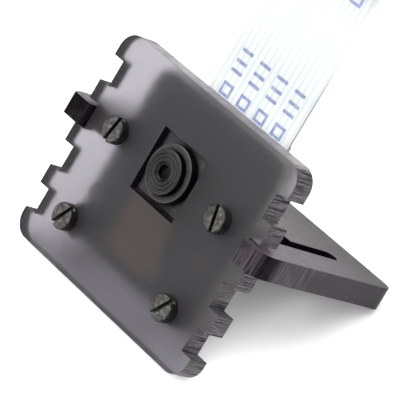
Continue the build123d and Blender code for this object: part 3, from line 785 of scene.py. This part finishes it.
def ribbon_section():
    """Points across the cable, as (x, depth inward from the surface), from edge to edge."""
    half = (ROOT_HIGH.x - ROOT_LOW.x) / 2
    points = [(-half, RIM_INSET), (-half + CABLE_RIM, CONDUCTOR_RISE)]
    for x in CONDUCTOR_PLACES:
        points += [
            (x - CONDUCTOR_SHOULDER, CONDUCTOR_RISE),
            (x - CONDUCTOR_HALF, 0.0),
            (x + CONDUCTOR_HALF, 0.0),
            (x + CONDUCTOR_SHOULDER, CONDUCTOR_RISE),
        ]
    return points + [(half - CABLE_RIM, CONDUCTOR_RISE), (half, RIM_INSET)]


def ribbon_cable():
    """One sheet from the connector to the free end, with a raised line over each conductor."""
    section = ribbon_section()
    loop = [(x, ROOT_LOW.y + inset, 1.0) for x, inset in section]
    loop += [(x, ROOT_HIGH.y - inset, 0.0) for x, inset in reversed(section)]
    start = ROOT_LOW.z
    rows = round((RIBBON_END - start) / ROW_STEP)
    sheet = bmesh.new()
    place = sheet.loops.layers.uv.new("place")
    front_side = sheet.verts.layers.float_vector.new("front")

    def add_face(corners):
        """A face from (vertex, x, z) corners, with its x and z kept for the material."""
        face = sheet.faces.new([vertex for vertex, _, _ in corners])
        for face_loop, (_, x, z) in zip(face.loops, corners):
            face_loop[place].uv = (x, z)

    rings = []
    for row in range(rows + 1):
        z = start + (RIBBON_END - start) * row / rows
        ring = []
        for x, y, is_front in loop:
            vertex = sheet.verts.new(at(x, y, z))
            vertex[front_side] = Vector((is_front, 0, 0))
            ring.append((vertex, x, z))
        rings.append(ring)
    count = len(loop)
    for lower, upper in zip(rings, rings[1:]):
        for i in range(count):
            j = (i + 1) % count
            add_face((lower[i], lower[j], upper[j], upper[i]))
    for ring in (rings[0], rings[-1]):
        for i in range(count // 2 - 1):
            add_face((ring[i], ring[i + 1], ring[count - 2 - i], ring[count - 1 - i]))
    bmesh.ops.recalc_face_normals(sheet, faces=sheet.faces)
    made = piece("ribbon_cable", sheet, white_film("white_film"))
    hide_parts("ribbon_root", "ribbon_free")
    return made


BOX_FACES = ((0, 1, 3, 2), (4, 6, 7, 5), (0, 4, 5, 1), (2, 3, 7, 6), (0, 2, 6, 4), (1, 5, 7, 3))


def add_box(mesh_data, x, y, z):
    """A box in the plate's frame, from its low and high value on each axis."""
    corners = [mesh_data.verts.new(at(a, b, c)) for a in x for b in y for c in z]
    for face in BOX_FACES:
        mesh_data.faces.new([corners[i] for i in face])


PRINT_THICKNESS = 0.02
PRINT_LINE = 0.15
PRINT_MARGIN = 0.3


def add_outline(mesh_data, low, high, face, thickness):
    """A printed rectangle around a component, on the board face at that depth."""
    depths = sorted((face, face + thickness))
    left, right = low.x - PRINT_MARGIN, high.x + PRINT_MARGIN
    bottom, top = low.z - PRINT_MARGIN, high.z + PRINT_MARGIN
    for x in (left, right - PRINT_LINE):
        add_box(mesh_data, (x, x + PRINT_LINE), depths, (bottom, top))
    for z in (bottom, top - PRINT_LINE):
        add_box(mesh_data, (left, right), depths, (z, z + PRINT_LINE))


def board_print():
    """White outlines around the components, without any lettering."""
    ink = bmesh.new()
    for node in ("capacitors", "resistors", "oscillator"):
        add_outline(ink, *plate_box(node), BOARD_HIGH.y, PRINT_THICKNESS)
    add_outline(ink, *plate_box("flex_socket"), BOARD_LOW.y, -PRINT_THICKNESS)
    return piece("board_print", ink, white_print("white_print"), smooth=False)


FILLET_BEFORE_HEEL = 0.35
FILLET_LENGTH = 0.85
FILLET_HALF_WIDTH = 0.27
FILLET_NARROWING = 0.06
FILLET_LEAST_HEIGHT = 0.02
FILLET_CROWN = 0.16
FILLET_STEPS = 6
FILLET_ARC = 6


def solder_joints():
    """A crowned fillet of solder at the heel of each connector contact."""
    start = plate_box("socket_contacts")[0].z - FILLET_BEFORE_HEEL
    angles = [math.pi * k / FILLET_ARC for k in range(FILLET_ARC + 1)]
    metal = bmesh.new()
    for x in CONDUCTOR_PLACES:
        rings = []
        for step in range(FILLET_STEPS + 1):
            share = step / FILLET_STEPS
            z = start + FILLET_LENGTH * share
            width = FILLET_HALF_WIDTH - FILLET_NARROWING * share
            height = FILLET_LEAST_HEIGHT + FILLET_CROWN * math.sin(math.pi * share) ** 0.8
            arc = [at(x + width * math.cos(a), BOARD_HIGH.y + height * math.sin(a), z) for a in angles]
            rings.append([metal.verts.new(point) for point in arc])
        for near, far in zip(rings, rings[1:]):
            for k in range(FILLET_ARC):
                metal.faces.new((near[k], near[k + 1], far[k + 1], far[k]))
            metal.faces.new((near[-1], near[0], far[0], far[-1]))
        metal.faces.new(rings[0])
        metal.faces.new(rings[-1])
    bmesh.ops.recalc_face_normals(metal, faces=metal.faces)
    return piece("solder_joints", metal, TIN)


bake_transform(ribbon_cable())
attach(board_print(), "frame")
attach(solder_joints(), "frame")


# ---------------------------------------------------------------------------
# Floor, light and camera
# ---------------------------------------------------------------------------

FLOOR_HALF = 3.0
FLOOR_GLOW = 0.11
STUDIO_RISE = {"From Min": 0.18, "From Max": 0.86, "To Min": 0.08, "To Max": 2.35}
STUDIO_WHITE = (1.0, 0.997, 0.99, 1.0)
CAMERA_AIM = (3.77, 2.94, -0.80)
CAMERA_AZIMUTH = 52.65
CAMERA_ELEVATION = 37.75
CAMERA_ROLL = 2.41
CAMERA_DISTANCE = 343.9
CAMERA_LENS = 259.5


def pale_floor(name):
    """Plain pale paper that gives off a little light of its own, painted light that lifts the
    shadows on it.
    """
    s = Shader(name)
    grain = s.noise(s.node("ShaderNodeTexCoord").outputs["Object"], 900.0, 3.0)
    color = s.mix(grain, (0.90, 0.898, 0.893), (0.93, 0.928, 0.923))
    surface = s.surface(
        color, 0.75, s.bump(grain, 0.00002, 0.2), Specular_IOR_Level=0.2,
        Emission_Color=(1.0, 0.985, 0.965), Emission_Strength=FLOOR_GLOW,
    )
    return s.finish(surface)


def floor():
    """The floor, at the height of the table."""
    ground = bmesh.new()
    bmesh.ops.create_grid(ground, x_segments=4, y_segments=4, size=FLOOR_HALF)
    mesh = bpy.data.meshes.new("floor")
    ground.to_mesh(mesh)
    ground.free()
    mesh.materials.append(pale_floor("pale_floor"))
    made = bpy.data.objects.new("floor", mesh)
    bpy.context.scene.collection.objects.link(made)


def direction(azimuth, elevation):
    """The direction of a place round the object; azimuth 0 is in front, 90 on the right."""
    a, e = math.radians(azimuth), math.radians(elevation)
    return Vector((math.sin(a) * math.cos(e), -math.cos(a) * math.cos(e), math.sin(e)))


def aimed(name, data, away, target, distance, roll=0.0):
    """A light or camera that looks at a target from that direction and distance."""
    made = bpy.data.objects.new(name, data)
    made.location = target + away * distance
    made.rotation_mode = "QUATERNION"
    turn = Quaternion((0, 0, 1), math.radians(roll))
    made.rotation_quaternion = away.to_track_quat("Z", "Y") @ turn
    bpy.context.scene.collection.objects.link(made)
    return made


def soft_light(name, azimuth, elevation, distance, size, power, color, only_shine=False):
    """A round light aimed at the lens; it may be one that only shows in reflections."""
    lamp = bpy.data.lights.new(name, "AREA")
    lamp.shape = "DISK"
    lamp.size = size
    lamp.energy = power
    lamp.color = color
    made = aimed(name, lamp, direction(azimuth, elevation), LENS_POINT, distance)
    if only_shine:
        made.visible_diffuse = False
        made.visible_transmission = False
        made.visible_volume_scatter = False


def studio():
    """A key light, a small shine for the rims, and a sky that brightens towards the top."""
    soft_light(
        "key", azimuth=-60.0, elevation=62.0, distance=0.6, size=0.40, power=3.0,
        color=(1.0, 0.995, 0.98),
    )
    soft_light(
        "rim_shine", azimuth=8.0, elevation=24.0, distance=0.6, size=0.18, power=1.6,
        color=(1.0, 1.0, 1.0), only_shine=True,
    )
    world = bpy.data.worlds.new("studio")
    world.use_nodes = True
    tree = world.node_tree
    background = tree.nodes["Background"]
    background.inputs["Color"].default_value = STUDIO_WHITE
    where = tree.nodes.new("ShaderNodeTexCoord")
    height = tree.nodes.new("ShaderNodeSeparateXYZ")
    rise = tree.nodes.new("ShaderNodeMapRange")
    rise.interpolation_type = "SMOOTHSTEP"
    for key, value in STUDIO_RISE.items():
        rise.inputs[key].default_value = value
    tree.links.new(where.outputs["Generated"], height.inputs["Vector"])
    tree.links.new(height.outputs["Z"], rise.inputs["Value"])
    tree.links.new(rise.outputs["Result"], background.inputs["Strength"])
    bpy.context.scene.world = world
    bpy.context.scene.view_settings.view_transform = "Standard"


def camera():
    """The camera, from in front on the right and above."""
    data = bpy.data.cameras.new("camera")
    data.lens = CAMERA_LENS
    data.clip_start = 0.01
    data.clip_end = 20.0
    away = direction(CAMERA_AZIMUTH, CAMERA_ELEVATION)
    bpy.context.scene.camera = aimed(
        "camera", data, away, at(*CAMERA_AIM), CAMERA_DISTANCE * MM, CAMERA_ROLL
    )


floor()
studio()
camera()
